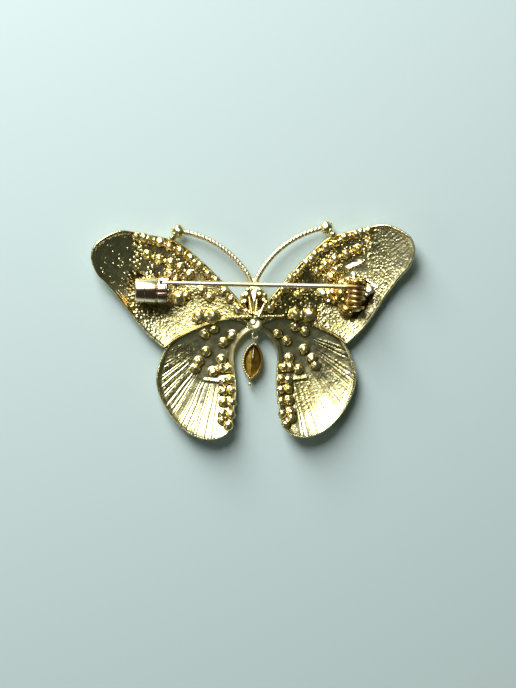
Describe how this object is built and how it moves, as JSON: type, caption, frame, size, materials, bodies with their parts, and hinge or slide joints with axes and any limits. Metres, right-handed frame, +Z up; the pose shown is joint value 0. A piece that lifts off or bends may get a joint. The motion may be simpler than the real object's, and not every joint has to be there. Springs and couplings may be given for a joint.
{
  "type": "brooch",
  "caption": "Butterfly-shaped brooch lying face down, with domed wings, ribbed lower wings, two antennae, a hanging marquise abdomen, and a hinged pin with a turning safety catch on its back.",
  "frame": {"origin": "middle of the bounding box in plan, on the surface that the brooch lies on, face down", "axes": "+X across the wings towards the pin's hinge, +Y from the lower wings towards the antennae, +Z up, out of the brooch's back"},
  "size_m": [0.058, 0.0388, 0.0093],
  "materials": {
    "gold": "gold-plated casting, polished",
    "pale_gold": "pale gold-plated wire, polished",
    "brown_gold": "darker gold-plated casting"
  },
  "bodies": {
    "brooch": {"casting": "gold", "hinge_rivet": "pale_gold", "drop_link": "gold", "abdomen_drop": "brown_gold"},
    "pin": {"pin_stem": "pale_gold"},
    "collar": {"catch_rotor": "gold"}
  },
  "joints": [
    {"name": "pin_swing", "type": "hinge", "parent": "brooch", "child": "pin", "pos_m": [0.0183, 0.00725, 0.00508], "axis": [0.0458, 0.999, 0], "range_deg": [0, 95]},
    {"name": "catch_turn", "type": "hinge", "parent": "brooch", "child": "collar", "pos_m": [-0.02107, 0.00763, 0.0062], "axis": [0.999, -0.0458, 0], "range_deg": [0, 100]}
  ]
}
